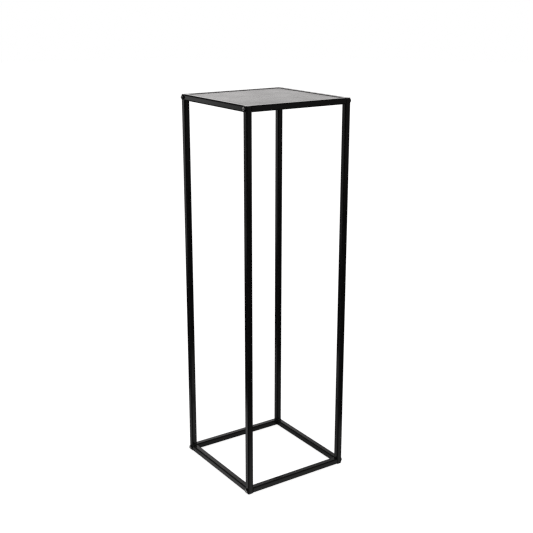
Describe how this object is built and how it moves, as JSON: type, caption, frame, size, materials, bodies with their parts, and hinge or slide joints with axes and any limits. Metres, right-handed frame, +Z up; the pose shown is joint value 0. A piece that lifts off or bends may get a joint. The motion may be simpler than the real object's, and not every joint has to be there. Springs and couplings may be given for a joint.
{
  "type": "display plinth",
  "caption": "Tall open stand of square black tubes, square in plan, with a recessed lift-out top panel, for raising an object on display.",
  "frame": {"origin": "on the floor, under the centre of the square frame", "axes": "+Z up; +X from the left bolted face to the right bolted face; +Y from front to rear"},
  "size_m": [0.309, 0.3, 0.982],
  "materials": {
    "frame": "semi-gloss black powder coat",
    "panel": "semi-gloss black powder coat",
    "bolts": "black oxide",
    "inserts": "bright zinc plate",
    "floor_pads": "matt"
  },
  "bodies": {
    "frame": {"front_bottom_left_bolt": "bolts", "front_bottom_rail": "frame", "front_bottom_rail_left_insert": "inserts", "front_bottom_rail_right_insert": "inserts", "front_bottom_right_bolt": "bolts", "front_top_left_bolt": "bolts", "front_top_rail": "frame", "front_top_rail_left_insert": "inserts", "front_top_rail_right_insert": "inserts", "front_top_right_bolt": "bolts", "left_bottom_rail": "frame", "left_front_floor_pad": "floor_pads", "left_front_panel_tab": "frame", "left_front_post": "frame", "left_front_post_bottom_plate": "frame", "left_front_post_top_plate": "frame", "left_rear_floor_pad": "floor_pads", "left_rear_panel_tab": "frame", "left_rear_post": "frame", "left_rear_post_bottom_plate": "frame", "left_rear_post_top_plate": "frame", "left_top_rail": "frame", "rear_bottom_left_bolt": "bolts", "rear_bottom_rail": "frame", "rear_bottom_rail_left_insert": "inserts", "rear_bottom_rail_right_insert": "inserts", "rear_bottom_right_bolt": "bolts", "rear_top_left_bolt": "bolts", "rear_top_rail": "frame", "rear_top_rail_left_insert": "inserts", "rear_top_rail_right_insert": "inserts", "rear_top_right_bolt": "bolts", "right_bottom_rail": "frame", "right_front_floor_pad": "floor_pads", "right_front_panel_tab": "frame", "right_front_post": "frame", "right_front_post_bottom_plate": "frame", "right_front_post_top_plate": "frame", "right_rear_floor_pad": "floor_pads", "right_rear_panel_tab": "frame", "right_rear_post": "frame", "right_rear_post_bottom_plate": "frame", "right_rear_post_top_plate": "frame", "right_top_rail": "frame"},
    "panel": {"top_panel": "panel"}
  },
  "joints": [
    {"name": "panel_lift", "type": "slide", "parent": "frame", "child": "panel", "axis": [0, 0, 1], "range_m": [0, 0.05]}
  ]
}
